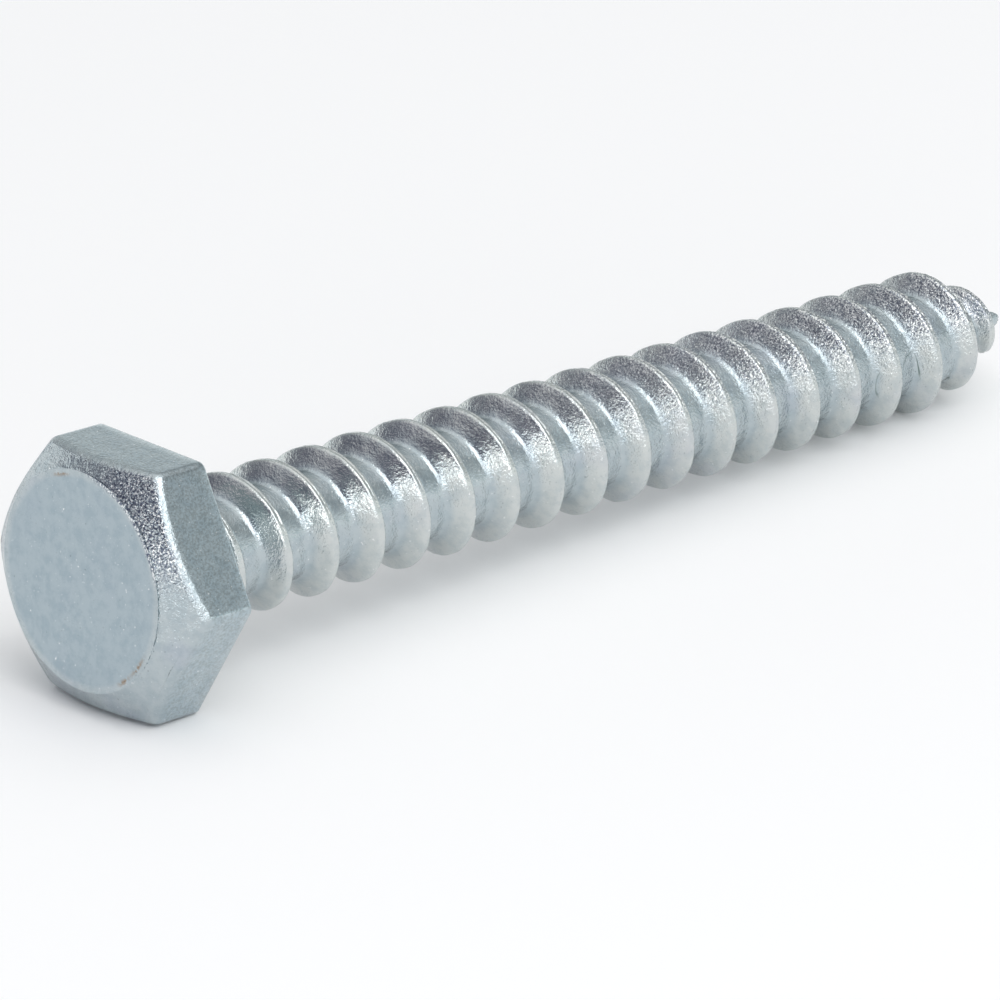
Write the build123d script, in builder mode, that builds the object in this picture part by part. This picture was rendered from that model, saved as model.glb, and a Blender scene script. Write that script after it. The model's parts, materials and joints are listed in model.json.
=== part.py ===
# Hex lag screw: a 1/4 in (10 threads per inch) by 2 in screw, cold headed and
# thread rolled from one blank. It lies on its side, as it comes to rest on a
# flat surface: on the seat edge of one wrench flat and on its last large crest.
from build123d import *
import math
import os

# Hex head
across_flats = 10.6  # between opposite wrench flats
head_height = 3.5  # from the seat to the top of the head
corner_radius = 0.22  # rounding of the six upright edges
crown_margin = 0.9  # from the flat circle on top of the head to each wrench flat
crown_angle = 31.0  # slope of the crown, in degrees below the flat circle
crown_offset_x = -0.18  # the crown is struck a little off the hexagon's axis
crown_offset_y = 0.2
rim_break = 0.15  # bevel that softens the rim between the flat circle and the crown
edge_break = 0.1  # bevel that softens the edge between the crown and the wrench flats

# Neck: what is left of the blank between the seat and the rolled thread
neck_diameter = 5.3
neck_length = 0.55
neck_flare = 0.43  # the cone at its foot, which reaches just past the crests
neck_run_out = 1.3  # length over which the neck falls to the root

# Rolled lag thread, right hand
thread_pitch = 2.54
crest_diameter = 6.0
root_diameter = 4.3
crest_width = 0.32
flank_angle = 29.0  # each flank, measured from square to the axis
seat_angle = 301.0  # direction about the axis in which the crest leaves the seat
foot_depth = 0.2  # the crest's foot is sunk this deep into the shank

# Gimlet point
screw_length = 50.0  # from the seat to the very tip
point_length = 5.13  # from the last full crest to the tip
point_turns = 1.75  # turns of thread on the point
tip_diameter = 0.62
tip_break = 0.14  # bevel around the blunt end
tip_crest_height = 0.3  # what is left of the crest where it ends
tip_crest_width = 0.14

crown_radius = across_flats / 2 - crown_margin
crest_radius = crest_diameter / 2
root_radius = root_diameter / 2
tip_radius = tip_diameter / 2
crest_height = crest_radius - root_radius
flank_slope = math.tan(math.radians(flank_angle))
crest_foot = crest_width / 2 + (crest_height + foot_depth) * flank_slope
flank_weights = (crest_radius, root_radius - foot_depth)

# Stations along the axis, from the seat (0) towards the tip
point_start = screw_length - point_length
point_slope = (root_radius - tip_radius) / point_length
point_angle = math.degrees(math.atan(point_slope))
point_thread = point_turns * thread_pitch

# The helix starts a little way inside the head, so that the crest grows out of
# the seat, and runs at full size to the start of the point
helix_lead = crest_foot + corner_radius
helix_height = helix_lead + point_start
turn_count = math.floor(helix_height / thread_pitch) - 1
run_height = helix_height - turn_count * thread_pitch
helix_angle = seat_angle - 360 * helix_lead / thread_pitch
point_helix_angle = helix_angle + 360 * helix_height / thread_pitch


def crest_reach(station):
    """Radius of the crest at a station along the axis."""
    tip_reach = root_radius - point_slope * point_thread + tip_crest_height
    past_point = max(0, station - point_start) / point_thread
    return crest_radius + (tip_reach - crest_radius) * past_point


# How the screw rests: the seat edge of the lowest wrench flat carries the head,
# and the first of the crests facing the ground to touch it carries the point
first_crest = thread_pitch * (1 - seat_angle / 360)
crest_count = math.floor((point_start + point_thread - first_crest) / thread_pitch) + 1
rest_slope = min(
    (across_flats / 2 - crest_reach(first_crest + turn * thread_pitch))
    / (first_crest + turn * thread_pitch + crest_width / 2)
    for turn in range(crest_count)
)
rest_tilt = math.degrees(math.atan(rest_slope))
rest_lift = across_flats / 2 * math.cos(math.radians(rest_tilt))


def crest_section(plane, height, width, weights=(1, 1)):
    """Trapezoid of the crest in an axial plane, its foot sunk into the shank.

    Each flank is a straight line. Weighted at either end by the radius of the
    other end, it runs evenly in 1 / radius, and a chord across the helical face
    that it sweeps then lies close to the face, so the face needs few facets.
    """
    foot = width / 2 + (height + foot_depth) * flank_slope
    head_foot, head_crest = (-foot_depth, -foot), (height, -width / 2)
    tip_crest, tip_foot = (height, width / 2), (-foot_depth, foot)
    foot_weight, crest_weight = weights
    with BuildSketch(plane) as section:
        with BuildLine():
            Bezier(head_foot, head_crest, weights=[foot_weight, crest_weight])
            Line(head_crest, tip_crest)
            Bezier(tip_crest, tip_foot, weights=[crest_weight, foot_weight])
            Line(tip_foot, head_foot)
        make_face()
    return section.sketch


# Blank: hexagonal head, neck, shank and point about one axis
with BuildPart() as blank:
    with BuildSketch() as hexagon:
        RegularPolygon(radius=across_flats / 2, side_count=6, major_radius=False, rotation=30)
        fillet(hexagon.vertices(), radius=corner_radius)
    extrude(amount=-head_height)

    # The crown: a flat circle and a wide cone that takes off the hexagon's corners
    crown_plane = Plane(
        origin=(crown_offset_x, crown_offset_y, -head_height),
        x_dir=(1, 0, 0),
        z_dir=(0, -1, 0),
    )
    cone_reach = across_flats
    cone_drop = (cone_reach - crown_radius) * math.tan(math.radians(crown_angle))
    with BuildSketch(crown_plane) as crown:
        with BuildLine():
            Polyline(
                (0, 0),
                (crown_radius, 0),
                (cone_reach, cone_drop),
                (cone_reach, cone_drop + head_height),
                (0, cone_drop + head_height),
                close=True,
            )
        make_face()
        rim = crown.vertices().group_by(Axis.Y)[0].sort_by(Axis.X)[-1]
        chamfer(rim, length=rim_break)
    revolve(axis=Axis(crown_plane.origin, (0, 0, 1)), mode=Mode.INTERSECT)

    # The soft edge where the crown runs out on the wrench flats
    crown_cone = blank.faces().filter_by(GeomType.CONE).sort_by(SortBy.AREA)[-1]
    crown_edges = crown_cone.edges().filter_by(GeomType.CIRCLE, reverse=True)
    chamfer(crown_edges, length=edge_break)

    # Neck, shank and point in one half profile
    with BuildSketch(Plane.XZ) as half_profile:
        with BuildLine():
            Polyline(
                (0, -head_height / 2),
                (neck_diameter / 2, -head_height / 2),
                (neck_diameter / 2, neck_length),
                (root_radius, neck_length + neck_run_out),
                (root_radius, point_start),
                (tip_radius, screw_length),
                (0, screw_length),
                close=True,
            )
        make_face()
        tip_corner = half_profile.vertices().group_by(Axis.Y)[-1].sort_by(Axis.X)[-1]
        chamfer(tip_corner, length=tip_break)
    revolve(axis=Axis.Z)

    # The flare that seats the neck on the head
    neck_rings = blank.edges().filter_by(GeomType.CIRCLE).filter_by_position(Axis.Z, -0.01, 0.01)
    chamfer(neck_rings.sort_by(SortBy.RADIUS)[-1], length=neck_flare)

# Thread along the shank: a crest of constant size swept along a helix, one turn
# to be repeated and a longer run that meets the point
with BuildPart() as full_turn:
    with BuildLine() as turn_helix:
        Helix(pitch=thread_pitch, height=thread_pitch, radius=root_radius)
    turn_plane = Plane(origin=turn_helix.line @ 0, x_dir=(1, 0, 0), z_dir=(0, -1, 0))
    turn_section = crest_section(turn_plane, crest_height, crest_width, flank_weights)
    sweep(sections=turn_section, path=turn_helix.line, is_frenet=True)

with BuildPart() as end_run:
    with BuildLine() as run_helix:
        Helix(pitch=thread_pitch, height=run_height, radius=root_radius)
    run_plane = Plane(origin=run_helix.line @ 0, x_dir=(1, 0, 0), z_dir=(0, -1, 0))
    run_section = crest_section(run_plane, crest_height, crest_width, flank_weights)
    sweep(sections=run_section, path=run_helix.line, is_frenet=True)

# Thread on the point: the same crest, lower and narrower turn by turn
with BuildPart() as point_spiral:
    with BuildLine() as point_helix:
        Helix(
            pitch=thread_pitch,
            height=point_thread,
            radius=root_radius,
            cone_angle=-point_angle,
        )
    last_turn = math.radians(360 * point_turns)
    first_plane = Plane(origin=point_helix.line @ 0, x_dir=(1, 0, 0), z_dir=(0, -1, 0))
    last_plane = Plane(
        origin=point_helix.line @ 1,
        x_dir=(math.cos(last_turn), math.sin(last_turn), 0),
        z_dir=(math.sin(last_turn), -math.cos(last_turn), 0),
    )
    point_sections = [
        crest_section(first_plane, crest_height, crest_width),
        crest_section(last_plane, tip_crest_height, tip_crest_width),
    ]
    sweep(sections=point_sections, path=point_helix.line, multisection=True, is_frenet=True)

# The whole screw, upright on its axis, as one solid
turns = [
    Location((0, 0, turn * thread_pitch - helix_lead), (0, 0, helix_angle))
    for turn in range(turn_count + 1)
]
with BuildPart() as upright:
    add(blank.part)
    with Locations(turns[:-1]):
        add(full_turn.part)
    with Locations(turns[-1]):
        add(end_run.part)
    with Locations(Location((0, 0, point_start), (0, 0, point_helix_angle))):
        add(point_spiral.part)

# Laid down: the head towards -X, the axis nearly level, the footprint centred
laid = upright.part.rotate(Axis.Y, 90 + rest_tilt)
footprint = laid.bounding_box()
with BuildPart() as lag_screw:
    with Locations((-footprint.center().X, 0, rest_lift)):
        add(laid)
lag_screw.part.label = "lag_screw"

os.makedirs("parts", exist_ok=True)
export_step(lag_screw.part, "parts/lag_screw.step")

print("leans", round(rest_tilt, 3), "degrees; lowest point", round(lag_screw.part.bounding_box().min.Z, 4))
print("solids", len(lag_screw.part.solids()), "valid", lag_screw.part.is_valid)
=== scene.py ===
import json
import math

import bmesh
import bpy
from mathutils import Matrix, Vector, noise


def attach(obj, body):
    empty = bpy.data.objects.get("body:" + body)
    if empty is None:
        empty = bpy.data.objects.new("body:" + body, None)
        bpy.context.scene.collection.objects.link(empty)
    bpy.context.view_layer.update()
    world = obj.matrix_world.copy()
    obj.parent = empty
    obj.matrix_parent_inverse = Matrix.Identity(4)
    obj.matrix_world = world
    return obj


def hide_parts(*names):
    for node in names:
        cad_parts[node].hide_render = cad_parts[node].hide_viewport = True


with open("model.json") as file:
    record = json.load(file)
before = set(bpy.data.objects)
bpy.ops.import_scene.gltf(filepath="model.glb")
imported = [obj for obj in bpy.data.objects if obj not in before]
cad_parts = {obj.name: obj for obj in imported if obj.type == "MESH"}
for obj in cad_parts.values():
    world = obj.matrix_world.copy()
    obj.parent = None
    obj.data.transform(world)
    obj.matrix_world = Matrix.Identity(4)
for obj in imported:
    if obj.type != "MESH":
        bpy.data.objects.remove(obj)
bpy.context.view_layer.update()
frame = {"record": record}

mm = 0.001
tiny = 0.001    # places closer than this are one place
print("frame loaded")


# The screw's own axis, from the mounts: local Z runs from the seat to the tip
def screwMatrix():
    mount = next(m for m in frame["record"]["mounts"] if m["name"] == "wood_thread")
    axis = Vector(mount["axis"]).normalized()
    side = Vector((0, 1, 0))
    turn = Matrix((side.cross(axis), side, axis)).transposed().to_4x4()
    return Matrix.Translation(Vector(mount["pos_m"])) @ turn @ Matrix.Scale(mm, 4)


# Thread and shank, in millimetres and degrees
shankSizes = {
    "pitch": 2.54,
    "crestRadius": 2.995,
    "rootRadius": 2.14,
    "crestWidth": 0.3,
    "seamDepth": 0.02,          # rolling seam along the middle of the crest
    "rootBand": 1.1,
    "seatAngle": 301.0,         # where the crest leaves the seat
    "stepsPerTurn": 72,
    "hiddenLength": 1.5,        # how far the shank runs into the head
    "firstCrestDrop": 0.12,     # the crest starts a little low
    "firstCrestTurns": 1.2,     # and comes up over this many turns
    "neckRadius": 2.65,
    "neckLength": 0.5,
    "neckRunOut": 1.4,
    "length": 49.62,
    "pointStart": 44.87,
    "stubLength": 0.85,         # plain stub at the very tip
    "stubRadius": 0.36,
    "stubRound": 0.24,
    "stubFace": 0.7,            # share of its radius that is left at the tip
    "lastCrest": 48.85,         # where the crest breaks off
    "crestFall": 0.45,          # how fast the crest comes down along the point
    "crestDrop": 0.12,          # the extra that it loses just before it breaks off
    "dropLength": 0.6,
    "breakLength": 0.12,
    "crestLean": 0.3,           # how far the last crest leans back towards the head
    "leanLength": 2.2,
    "unevenCrest": 0.035,       # rolled surfaces are never quite true
    "unevenRoot": 0.04,
    "unevenScales": (1.1, 3.1),
    "leastRough": 0.5,          # near the head; the relief grows to the point
    "roughRise": (12, 34),
    "rootUnshaded": 0.35,         # the roots get the darker zinc as painted shade, the flanks are bright
    "unshadedRise": (0.1, 0.5),
    "pitAndShadeFacing": -155,          # the side of the thread that is most pitted; its pits are darkened as painted shade, with painted glints
    "pitReach": (20, 60),
    "pitFlank": (0.05, 0.3),
    "pitRise": (10, 42),        # pitting, with its painted shade and painted glints, grows from the head to the point
    "pitMost": 0.75,
}


def blend(low, high, value):
    step = min(max((value - low) / (high - low), 0), 1)
    return step * step * (3 - 2 * step)


# Share of the pitting, with its painted shade and painted glints, by degrees round the axis
def facingShare(degrees, s):
    aside = abs((degrees - s["pitAndShadeFacing"] + 180) % 360 - 180)
    return 1 - blend(*s["pitReach"], aside)


def rootAt(height, s):
    stubStart = s["length"] - s["stubLength"]
    along = min(max((height - s["pointStart"]) / (stubStart - s["pointStart"]), 0), 1)
    radius = s["rootRadius"] + (s["stubRadius"] - s["rootRadius"]) * along
    roundStart = s["length"] - s["stubRound"]
    if height > roundStart:
        past = min((height - roundStart) / s["stubRound"], 1)
        radius *= s["stubFace"] + (1 - s["stubFace"]) * math.sqrt(1 - past * past)
    return radius


# Crest radius where its middle stands at a given height
def crestAt(middle, s):
    radius = s["crestRadius"] - s["crestFall"] * max(0, middle - s["pointStart"])
    radius -= s["crestDrop"] * blend(s["lastCrest"] - s["dropLength"], s["lastCrest"], middle)
    return radius - s["firstCrestDrop"] * (1 - blend(0, s["firstCrestTurns"] * s["pitch"], middle))


def neckAt(height, s):
    fall = blend(s["neckLength"], s["neckLength"] + s["neckRunOut"], height)
    return s["neckRadius"] * (1 - fall)


# One pitch of the rolled profile as radius and height, mirrored about the middle of the crest
def threadProfile(s):
    halfPitch = s["pitch"] / 2
    halfCrest = s["crestWidth"] / 2
    halfRoot = s["rootBand"] / 2
    root, crest = s["rootRadius"], s["crestRadius"]
    foot = halfPitch - halfRoot
    depth = crest - root
    half = [
        (crest - s["seamDepth"], 0),
        (crest - s["seamDepth"] * 0.5, halfCrest * 0.3),
        (crest, halfCrest * 0.6),
        (crest - 0.02, halfCrest * 0.9),
        (crest - 0.1 * depth, halfCrest + 0.06 * depth),
        (crest - 0.35 * depth, halfCrest + (foot - halfCrest) * 0.32),
        (crest - 0.62 * depth, halfCrest + (foot - halfCrest) * 0.62),
        (crest - 0.86 * depth, foot - 0.08),
        (crest - 0.96 * depth, foot + 0.02),
        (root, foot + 0.14),
        (root, halfPitch - halfRoot * 0.4),
        (root, halfPitch),
    ]
    return [(r, -z) for r, z in reversed(half[1:])] + half


def makeShank(s):
    bm = bmesh.new()
    points = [bm.verts.new((r, 0, z)) for r, z in threadProfile(s)]
    edges = [bm.edges.new(pair) for pair in zip(points, points[1:])]
    firstCrest = s["pitch"] * (1 - s["seatAngle"] / 360) - 2 * s["pitch"]
    turns = math.ceil((s["length"] - firstCrest) / s["pitch"]) + 1
    bmesh.ops.translate(bm, verts=points, vec=(0, 0, firstCrest))
    bmesh.ops.spin(
        bm,
        geom=points + edges,
        cent=(0, 0, 0),
        axis=(0, 0, 1),
        dvec=(0, 0, s["pitch"] / s["stepsPerTurn"]),
        angle=2 * math.pi,
        steps=s["stepsPerTurn"],
    )
    oneTurn = bm.verts[:] + bm.edges[:] + bm.faces[:]
    for turn in range(1, turns):
        copy = bmesh.ops.duplicate(bm, geom=oneTurn)["geom"]
        copied = [item for item in copy if isinstance(item, bmesh.types.BMVert)]
        bmesh.ops.translate(bm, verts=copied, vec=(0, 0, turn * s["pitch"]))
    bmesh.ops.remove_doubles(bm, verts=bm.verts, dist=tiny)
    depth = s["crestRadius"] - s["rootRadius"]
    roughShare = bm.verts.layers.float.new("roughShare")
    unshadedShare = bm.verts.layers.float.new("unshadedShare")
    pitAndShadeShare = bm.verts.layers.float.new("pitAndShadeShare")
    # The even thread is bent to the real one: neck, point, uneven rolling, last crest
    for vert in bm.verts:
        height = min(max(vert.co.z, -s["hiddenLength"]), s["length"])
        radius = math.hypot(vert.co.x, vert.co.y)
        share = (radius - s["rootRadius"]) / depth
        turned = (math.atan2(vert.co.y, vert.co.x) / (2 * math.pi)) % 1
        fromCrest = (vert.co.z - firstCrest) / s["pitch"] - turned
        middle = vert.co.z - (fromCrest - round(fromCrest)) * s["pitch"]
        broken = blend(s["lastCrest"], s["lastCrest"] + s["breakLength"], middle)
        place = Vector((vert.co.x, vert.co.y, height))
        wave = sum(noise.noise(place * size) for size in s["unevenScales"]) / 2
        root = rootAt(height, s) - s["unevenRoot"] * (0.5 + wave) * blend(0, 1, height)
        crest = max(crestAt(middle, s) - s["unevenCrest"] * (0.5 + wave), root)
        newRadius = max(root + share * (1 - broken) * (crest - root), neckAt(height, s))
        if vert.co.z <= -s["hiddenLength"] or vert.co.z >= s["length"]:
            newRadius = 0
        scale = newRadius / radius
        leaning = blend(s["lastCrest"] - s["leanLength"], s["lastCrest"], middle)
        lean = s["crestLean"] * max(share, 0) * leaning
        vert.co = (vert.co.x * scale, vert.co.y * scale, height - lean)
        vert[roughShare] = s["leastRough"] + (1 - s["leastRough"]) * blend(*s["roughRise"], height)
        # Painted shade: the thread roots get the darker zinc, the flanks the bright one
        vert[unshadedShare] = s["rootUnshaded"] + (1 - s["rootUnshaded"]) * blend(*s["unshadedRise"], share)
        # Pits darkened as painted shade, with painted glints, on one side of the thread
        pitting = facingShare(turned * 360, s) * blend(*s["pitFlank"], share)
        vert[pitAndShadeShare] = s["pitMost"] * pitting * blend(*s["pitRise"], height)
    bmesh.ops.remove_doubles(bm, verts=bm.verts, dist=tiny)
    return bm


# Head, in millimetres and degrees
headSizes = {
    "acrossFlats": 10.59,
    "height": 3.5,
    "cornerRadius": 0.42,
    "cornerShare": 0.8,         # share of a flat's steps that stay on its plane
    "crownRadius": 4.4,
    "crownAngle": 31.0,
    "crownOffset": (-0.18, 0.2),
    "crownRound": (0.16, 3),    # each round has its size and its number of steps
    "edgeRound": (0.27, 4),
    "seatRound": (0.16, 3),
    "stepsPerFlat": 40,
    "crownRings": 8,
    "coneRings": 6,
    "sideRings": 5,
    "rimBand": 0.045,           # share of the radius that a stain on the rim covers
    "faceFinish": (0.15, 0),    # share of the relief, then of the bright zinc; the rest is painted shade
    "sideFinish": (0.2, 0.15),
    "coneFinish": (1, 0.4),
    "pitAndShadeFacing": -139,          # where the crown's chamfer is most pitted and gets painted shade and painted glints
    "pitReach": (18, 42),
}


# Place on the hexagon's outline at an angle round the axis
def hexPoint(angle, s):
    halfAngle = math.pi / 6
    facing = math.floor((angle + halfAngle) / (2 * halfAngle)) * 2 * halfAngle
    share = (angle - facing) / halfAngle
    apothem = s["acrossFlats"] / 2
    flatHalf = (apothem - s["cornerRadius"]) * math.tan(halfAngle)
    if abs(share) <= s["cornerShare"]:
        local = Vector((apothem, flatHalf * share / s["cornerShare"], 0))
    else:
        bend = (abs(share) - s["cornerShare"]) / (1 - s["cornerShare"]) * halfAngle
        local = Vector((
            apothem - s["cornerRadius"] * (1 - math.cos(bend)),
            math.copysign(flatHalf + s["cornerRadius"] * math.sin(bend), share),
            0,
        ))
    return Matrix.Rotation(facing, 3, "Z") @ local


def roundRing(bm, ring, size, steps):
    members = set(ring)
    edges = {edge for vert in ring for edge in vert.link_edges if edge.other_vert(vert) in members}
    bmesh.ops.bevel(
        bm,
        geom=list(edges),
        offset=size,
        affect="EDGES",
        segments=steps,
        profile=0.5,
        material=-1,
    )


# The head is spun flat first, with u from the crown's middle (0) over its rim (1) to the
# hexagon's edge (2), and v from the top (0) down the flats to the seat (1)
def makeHead(s):
    bm = bmesh.new()
    crown, cone, side = s["crownRings"], s["coneRings"], s["sideRings"]
    stations = [(ring / crown, 0) for ring in range(crown)]
    stations += [(1 - s["rimBand"], 0), (1, 0), (1 + s["rimBand"], 0)]
    stations += [(1 + ring / cone, 0) for ring in range(1, cone + 1)]
    stations += [(2, ring / side) for ring in range(1, side + 1)]
    stations += [(1, 1), (0, 1)]
    points = [bm.verts.new((u, 0, v)) for u, v in stations]
    edges = [bm.edges.new(pair) for pair in zip(points, points[1:])]
    bmesh.ops.spin(
        bm,
        geom=points + edges,
        cent=(0, 0, 0),
        axis=(0, 0, 1),
        angle=2 * math.pi,
        steps=6 * s["stepsPerFlat"],
        use_merge=True,
    )
    bmesh.ops.remove_doubles(bm, verts=bm.verts, dist=tiny / 10)
    centre = Vector((*s["crownOffset"], 0))
    slope = math.tan(math.radians(s["crownAngle"]))
    crownRim, crownEdge, seatEdge = [], [], []
    roughShare = bm.verts.layers.float.new("roughShare")
    unshadedShare = bm.verts.layers.float.new("unshadedShare")
    flatShare = bm.verts.layers.float.new("flatShare")
    rimShare = bm.verts.layers.float.new("rimShare")
    pitAndShadeShare = bm.verts.layers.float.new("pitAndShadeShare")
    for vert in bm.verts:
        u, v = math.hypot(vert.co.x, vert.co.y), vert.co.z
        angle = math.atan2(vert.co.y, vert.co.x)
        rim = centre + Vector((math.cos(angle), math.sin(angle), 0)) * s["crownRadius"]
        if u <= 1:
            place = centre.lerp(rim, u)
        else:
            place = rim.lerp(hexPoint(angle, s), u - 1)
        drop = max(0, (place - centre).length - s["crownRadius"]) * slope
        top = drop - s["height"]
        place.z = top * (1 - v)
        vert.co = place
        onFace, onSide = u < 1 - tiny, v > tiny
        onRim = not onSide and abs(u - 1) < tiny
        onCone = 1 + tiny < u < 2 - tiny
        finish = s["faceFinish"] if onFace else s["sideFinish"] if onSide else s["coneFinish"]
        vert[roughShare], vert[unshadedShare] = finish
        vert[flatShare] = 1 if onSide else 0
        vert[rimShare] = 1 if onRim else 0
        # The crown's chamfer gets pits darkened as painted shade, with painted glints
        vert[pitAndShadeShare] = facingShare(math.degrees(angle), s) if onCone else 0
        if onRim:
            crownRim.append(vert)
        if abs(u - 2) < tiny and not onSide:
            crownEdge.append(vert)
        if abs(u - 2) < tiny and v > 1 - tiny:
            seatEdge.append(vert)
    roundRing(bm, crownRim, *s["crownRound"])
    roundRing(bm, crownEdge, *s["edgeRound"])
    roundRing(bm, seatEdge, *s["seatRound"])
    return bm


finishLayers = ("roughShare", "unshadedShare", "flatShare", "rimShare", "pitAndShadeShare")
creaseAngle = 38    # degrees; edges that turn more than this stay crisp


def finishMesh(parts, name):
    whole = bmesh.new()
    for layer in finishLayers:
        whole.verts.layers.float.new(layer)
    for bm in parts:
        bmesh.ops.recalc_face_normals(bm, faces=bm.faces)
        piece = bpy.data.meshes.new("part")
        bm.to_mesh(piece)
        bm.free()
        whole.from_mesh(piece)
        bpy.data.meshes.remove(piece)
    bmesh.ops.transform(whole, matrix=screwMatrix(), verts=whole.verts)
    for face in whole.faces:
        face.smooth = True
    for edge in whole.edges:
        edge.smooth = edge.calc_face_angle(0) < math.radians(creaseAngle)
    mesh = bpy.data.meshes.new(name)
    whole.to_mesh(mesh)
    whole.free()
    screw = bpy.data.objects.new(name, mesh)
    bpy.context.collection.objects.link(screw)
    return screw


screw = finishMesh([makeShank(shankSizes), makeHead(headSizes)], "hexLagScrew")
print("screw modelled:", len(screw.data.polygons), "faces")


# Helpers for the shaders
def setOrLink(tree, value, socket):
    if isinstance(value, bpy.types.NodeSocket):
        tree.links.new(value, socket)
    else:
        socket.default_value = value


def mapRange(tree, source, low, high):
    node = tree.nodes.new("ShaderNodeMapRange")
    node.interpolation_type = "SMOOTHSTEP"
    node.inputs["From Min"].default_value = low
    node.inputs["From Max"].default_value = high
    tree.links.new(source, node.inputs["Value"])
    return node.outputs["Result"]


# On a colour mix, inputs 6 and 7 are the two colours and output 2 is the result
def mixColours(tree, factor, first, second, mode="MIX"):
    node = tree.nodes.new("ShaderNodeMix")
    node.data_type = "RGBA"
    node.blend_type = mode
    for value, index in ((factor, 0), (first, 6), (second, 7)):
        setOrLink(tree, value, node.inputs[index])
    return node.outputs[2]


def calculate(tree, operation, first, second=0):
    node = tree.nodes.new("ShaderNodeMath")
    node.operation = operation
    setOrLink(tree, first, node.inputs[0])
    setOrLink(tree, second, node.inputs[1])
    return node.outputs[0]


def attribute(tree, name):
    node = tree.nodes.new("ShaderNodeAttribute")
    node.attribute_name = name
    return node.outputs["Fac"]


def stretched(tree, place, scale):
    node = tree.nodes.new("ShaderNodeMapping")
    node.inputs["Scale"].default_value = scale
    tree.links.new(place, node.inputs["Vector"])
    return node.outputs["Vector"]


def noiseAt(tree, place, size, detail, roughness):
    node = tree.nodes.new("ShaderNodeTexNoise")
    node.inputs["Scale"].default_value = 1 / (size * mm)
    node.inputs["Detail"].default_value = detail
    node.inputs["Roughness"].default_value = roughness
    tree.links.new(place, node.inputs["Vector"])
    return node.outputs["Fac"]


# Noise as a mask: 0 at the low value and 1 at the high one
def patches(tree, place, pattern):
    size, detail, roughness, low, high = pattern
    return mapRange(tree, noiseAt(tree, place, size, detail, roughness), low, high)


def bumpOf(tree, height, strength, distance, below=None):
    node = tree.nodes.new("ShaderNodeBump")
    node.inputs["Distance"].default_value = distance * mm
    tree.links.new(height, node.inputs["Height"])
    tree.links.new(strength, node.inputs["Strength"])
    if below:
        tree.links.new(below, node.inputs["Normal"])
    return node.outputs["Normal"]


# Bright zinc, in millimetres. Patches have size, detail, roughness, and the noise's low and
# high values. Plain noise has only the first three
zincLook = {
    "bright": (0.62, 0.65, 0.64, 1),            # crown and thread flanks
    "shadedZinc": (0.41, 0.485, 0.525, 1),            # darker zinc, painted shade on the head's face and flats and in the thread roots
    "bloom": (2.4, 3, 0.5, 0.5, 0.68),          # thin violet bloom of the plating
    "bloomColour": (0.45, 0.46, 0.60, 1),
    "bloomShare": 0.16,
    "mottle": (0.55, 5, 0.7, 0.4, 0.65),
    "mottleColour": (0.86, 0.89, 0.91, 1),
    "specks": (0.11, 2, 0.5, 0.3, 0.22),        # dark ones, then light ones
    "speckColour": (0.22, 0.26, 0.28, 1),
    "flecks": (0.11, 2, 0.5, 0.7, 0.76),
    # light flecks; the same colour also paints the glints, which are painted highlights
    "fleckAndGlintColour": (0.92, 0.93, 0.93, 1),
    "dusting": (0.1, 2, 0.5, 0.36, 0.6),        # fine dark grain of the wrench flats
    "dustColour": (0.86, 0.85, 0.83, 1),
    "dustFreeColour": (1.1, 1.1, 1.1, 1),
    "pitsAndShade": (0.09, 2, 0.6, 0.52, 0.4),          # pits darkened as painted shade, and the painted glints between them
    # dark blue of the pits, partly painted shade
    "pitAndShadeColour": (0.11, 0.13, 0.19, 1),
    "paintedGlints": (0.09, 2, 0.6, 0.54, 0.62),
    "stainBreaks": (0.16, 3, 0.5, 0.4, 0.5),    # rust-brown stains at the crown's rim
    "stainColour": (0.26, 0.13, 0.03, 1),
    "stains": (                                 # middle of each on the screw, and its reach
        ((2.47, -3.31, -3.5), 0.9),
        ((3.3, -2.5, -3.5), 0.6),
        ((-4.39, 1.49, -3.5), 0.7),
    ),
    "folds": (1.0, 0.6, 0.5),                   # folds left by the rolling, near the point
    "foldStretch": (1.1, 0.4, 0.4),
    "foldLine": (0.012, 0.003),                 # outer and inner end of a line's soft edge
    "foldStart": (13, 20),                      # in X, from where they begin to where they are full
    "foldBright": (0.7, 0.4),                   # they fade out on the brighter flanks
    "foldPatches": (1.7, 1, 0.5, 0.48, 0.58),
    "foldColour": (0.12, 0.17, 0.16, 1),
    "wear": (0.9, 4, 0.5, 0.35, 0.65),          # from glossy to satin
    "glossy": 0.08,
    "satin": 0.18,
    "peel": (0.45, 2, 0.5),
    "peelHeight": 0.05,
    "scratches": (0.12, 2, 0.5, 0.3, 0.5),      # drawn along the wrench flats
    "scratchStretch": (0.1, 1, 1),
    "scratchHeight": 0.0015,
    "grain": (0.12, 2, 0.7),
    "grainHeight": 0.04,
}


def stainMask(tree, place, look):
    breaks = patches(tree, place, look["stainBreaks"])
    stained = 0
    for centre, reach in look["stains"]:
        distance = tree.nodes.new("ShaderNodeVectorMath")
        distance.operation = "DISTANCE"
        distance.inputs[1].default_value = screwMatrix() @ Vector(centre)
        tree.links.new(place, distance.inputs[0])
        near = mapRange(tree, distance.outputs["Value"], reach * mm, 0)
        stained = calculate(tree, "MAXIMUM", stained, calculate(tree, "MULTIPLY", near, breaks))
    return calculate(tree, "MULTIPLY", stained, attribute(tree, "rimShare"))


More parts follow.
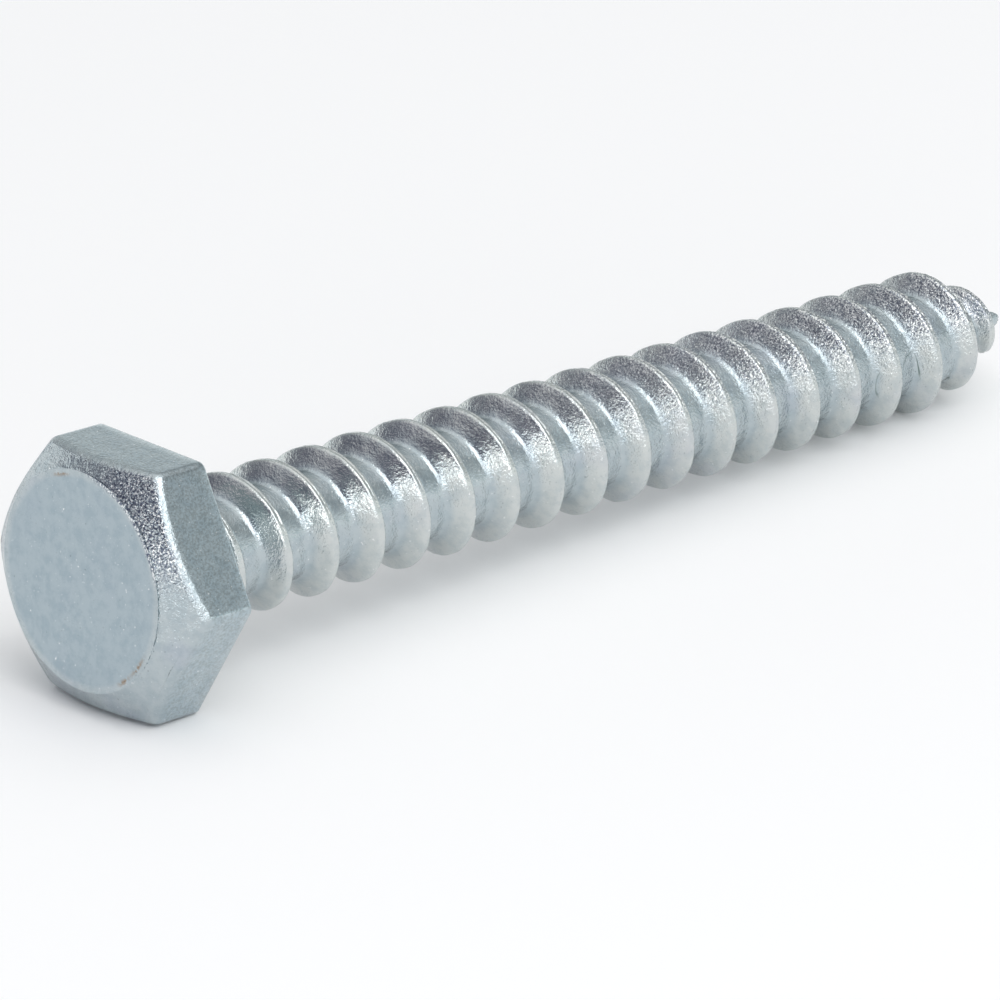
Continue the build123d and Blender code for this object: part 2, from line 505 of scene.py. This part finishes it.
# Thin lines where the noise passes its middle value, in the roots near the point
def foldMask(tree, place, look):
    fold = noiseAt(tree, stretched(tree, place, look["foldStretch"]), *look["folds"])
    offMiddle = calculate(tree, "ABSOLUTE", calculate(tree, "SUBTRACT", fold, 0.5))
    along = tree.nodes.new("ShaderNodeSeparateXYZ")
    tree.links.new(place, along.inputs[0])
    start, full = look["foldStart"]
    mask = mapRange(tree, offMiddle, *look["foldLine"])
    for limit in (
        mapRange(tree, along.outputs["X"], start * mm, full * mm),
        mapRange(tree, attribute(tree, "unshadedShare"), *look["foldBright"]),
        patches(tree, place, look["foldPatches"]),
    ):
        mask = calculate(tree, "MULTIPLY", mask, limit)
    return mask


def zincColour(tree, place, look):
    # Bright zinc, with the darker zinc mixed in as painted shade
    platingAndShade = mixColours(tree, attribute(tree, "unshadedShare"), look["shadedZinc"], look["bright"])
    bloom = patches(tree, place, look["bloom"])
    bloom = calculate(tree, "MULTIPLY", bloom, look["bloomShare"])
    bloom = calculate(tree, "MULTIPLY", bloom, attribute(tree, "roughShare"))
    platingAndShade = mixColours(tree, bloom, platingAndShade, look["bloomColour"])
    mottle = patches(tree, place, look["mottle"])
    platingAndShade = mixColours(tree, mottle, platingAndShade, look["mottleColour"], "MULTIPLY")
    platingAndShade = mixColours(tree, patches(tree, place, look["specks"]), platingAndShade, look["speckColour"])
    platingAndShade = mixColours(tree, patches(tree, place, look["flecks"]), platingAndShade, look["fleckAndGlintColour"])
    dusting = patches(tree, place, look["dusting"])
    dusting = mixColours(tree, dusting, look["dustColour"], look["dustFreeColour"])
    platingAndShade = mixColours(tree, attribute(tree, "flatShare"), platingAndShade, dusting, "MULTIPLY")
    # Pits darkened to dark blue as painted shade, and painted glints between them
    pittedAndShaded = attribute(tree, "pitAndShadeShare")
    for pattern, colour in (("pitsAndShade", "pitAndShadeColour"), ("paintedGlints", "fleckAndGlintColour")):
        mask = calculate(tree, "MULTIPLY", pittedAndShaded, patches(tree, place, look[pattern]))
        platingAndShade = mixColours(tree, mask, platingAndShade, look[colour])
    platingAndShade = mixColours(tree, stainMask(tree, place, look), platingAndShade, look["stainColour"])
    return mixColours(tree, foldMask(tree, place, look), platingAndShade, look["foldColour"])


# Peel, then drawn scratches on the wrench flats, then fine grain
def zincRelief(tree, place, look):
    rough = attribute(tree, "roughShare")
    peel = bumpOf(tree, noiseAt(tree, place, *look["peel"]), rough, look["peelHeight"])
    drawn = patches(tree, stretched(tree, place, look["scratchStretch"]), look["scratches"])
    drawn = bumpOf(tree, drawn, attribute(tree, "flatShare"), look["scratchHeight"], peel)
    return bumpOf(tree, noiseAt(tree, place, *look["grain"]), rough, look["grainHeight"], drawn)


def zincMaterial(look):
    material = bpy.data.materials.new("brightZinc")
    material.use_nodes = True
    tree = material.node_tree
    shader = tree.nodes["Principled BSDF"]
    shader.inputs["Metallic"].default_value = 1
    place = tree.nodes.new("ShaderNodeTexCoord").outputs["Object"]
    wear = patches(tree, place, look["wear"])
    wear.node.inputs["To Min"].default_value = look["glossy"]
    wear.node.inputs["To Max"].default_value = look["satin"]
    tree.links.new(zincColour(tree, place, look), shader.inputs["Base Color"])
    tree.links.new(wear, shader.inputs["Roughness"])
    tree.links.new(zincRelief(tree, place, look), shader.inputs["Normal"])
    return material


screw.data.materials.append(zincMaterial(zincLook))
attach(screw, "root")
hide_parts("lag_screw")
print("zinc finish made")


# Floor and world. The world's colours go by height: 0 is the horizon, 1 is straight up
stageLook = {
    "floorColour": (0.98, 0.98, 0.98, 1),
    "floorRoughness": 0.8,
    "floorSize": 3.0,
    "skyStrength": 1.95,
    "lightDirection": (1, 0.1, 0),      # from the head's side of the sky to the point's
    "sidesMeet": (-0.6, 0.5),
    "headSide": (
        (0.0, (0.46, 0.47, 0.475, 1)),
        (0.035, (0.2, 0.2, 0.22, 1)),
        (0.075, (0.85, 0.86, 0.86, 1)),
        (0.16, (0.8, 0.81, 0.81, 1)),
        (0.22, (0.6, 0.61, 0.62, 1)),
        (0.3, (0.08, 0.08, 0.1, 1)),
        (0.5, (0.05, 0.05, 0.075, 1)),
        (0.64, (0.22, 0.22, 0.24, 1)),
        (1.0, (0.55, 0.55, 0.55, 1)),
    ),
    "pointSide": (
        (0.0, (0.6, 0.62, 0.61, 1)),
        (0.3, (0.34, 0.36, 0.365, 1)),
        (0.6, (0.2, 0.21, 0.21, 1)),
        (0.85, (0.5, 0.5, 0.5, 1)),
        (1.0, (0.6, 0.6, 0.6, 1)),
    ),
}


def makeFloor(look):
    bm = bmesh.new()
    bmesh.ops.create_grid(bm, x_segments=1, y_segments=1, size=look["floorSize"] / 2)
    mesh = bpy.data.meshes.new("floor")
    bm.to_mesh(mesh)
    bm.free()
    floor = bpy.data.objects.new("floor", mesh)
    bpy.context.collection.objects.link(floor)
    material = bpy.data.materials.new("paleFloor")
    material.use_nodes = True
    shader = material.node_tree.nodes["Principled BSDF"]
    shader.inputs["Base Color"].default_value = look["floorColour"]
    shader.inputs["Roughness"].default_value = look["floorRoughness"]
    floor.data.materials.append(material)


def skyRamp(tree, height, stops):
    node = tree.nodes.new("ShaderNodeValToRGB")
    ramp = node.color_ramp
    ramp.elements[0].position, ramp.elements[0].color = stops[0]
    ramp.elements[1].position, ramp.elements[1].color = stops[-1]
    for position, colour in stops[1:-1]:
        ramp.elements.new(position).color = colour
    tree.links.new(height, node.inputs["Fac"])
    return node.outputs["Color"]


def makeWorld(look):
    world = bpy.data.worlds.new("studio")
    bpy.context.scene.world = world
    world.use_nodes = True
    tree = world.node_tree
    background = tree.nodes["Background"]
    direction = tree.nodes.new("ShaderNodeTexCoord").outputs["Generated"]
    side = tree.nodes.new("ShaderNodeVectorMath")
    side.operation = "DOT_PRODUCT"
    side.inputs[1].default_value = look["lightDirection"]
    tree.links.new(direction, side.inputs[0])
    height = tree.nodes.new("ShaderNodeSeparateXYZ")
    tree.links.new(direction, height.inputs[0])
    across = mapRange(tree, side.outputs["Value"], *look["sidesMeet"])
    headSide = skyRamp(tree, height.outputs["Z"], look["headSide"])
    pointSide = skyRamp(tree, height.outputs["Z"], look["pointSide"])
    tree.links.new(mixColours(tree, across, headSide, pointSide), background.inputs["Color"])
    background.inputs["Strength"].default_value = look["skyStrength"]


# Degrees round from the front towards the head end, and up. Distance and size are in metres
lamps = {
    "frontSoftbox": {"round": 11, "up": 46, "distance": 0.6, "size": (0.56, 0.56), "power": 1.85},
    "edgeStrip": {"round": 48, "up": 9, "distance": 0.6, "size": (0.4, 0.09), "power": 0.25},
}


# Direction from the screw to a place round from the front and up, in degrees
def directionTo(around, up):
    turn, rise = math.radians(around), math.radians(up)
    return Vector((
        -math.sin(turn) * math.cos(rise),
        -math.cos(turn) * math.cos(rise),
        math.sin(rise),
    ))


def makeLamp(name, look):
    data = bpy.data.lights.new(name, "AREA")
    data.shape = "RECTANGLE"
    data.size, data.size_y = look["size"]
    data.energy = look["power"]
    away = directionTo(look["round"], look["up"])
    lamp = bpy.data.objects.new(name, data)
    lamp.location = away * look["distance"]
    lamp.rotation_euler = (-away).to_track_quat("-Z", "Y").to_euler()
    bpy.context.collection.objects.link(lamp)


makeFloor(stageLook)
makeWorld(stageLook)
for lampName, lampLook in lamps.items():
    makeLamp(lampName, lampLook)
print("stage and lamps set")


# Angles as for the lamps; target, distance and clip in metres, lens and sensor in millimetres
cameraView = {
    "target": (-0.00283, 0.00093, 0.00214),
    "round": 44.206,
    "up": 22.046,
    "roll": -0.157,
    "distance": 0.33961,
    "lens": 294.73,
    "sensor": 36,
    "clipStart": 0.01,
}


def makeCamera(view):
    data = bpy.data.cameras.new("camera")
    data.lens = view["lens"]
    data.sensor_width = view["sensor"]
    data.clip_start = view["clipStart"]
    camera = bpy.data.objects.new("camera", data)
    away = directionTo(view["round"], view["up"])
    camera.location = Vector(view["target"]) + away * view["distance"]
    roll = Matrix.Rotation(math.radians(view["roll"]), 3, "Z").to_quaternion()
    camera.rotation_euler = (away.to_track_quat("Z", "Y") @ roll).to_euler()
    bpy.context.collection.objects.link(camera)
    bpy.context.scene.camera = camera


makeCamera(cameraView)
bpy.context.scene.view_settings.view_transform = "Standard"
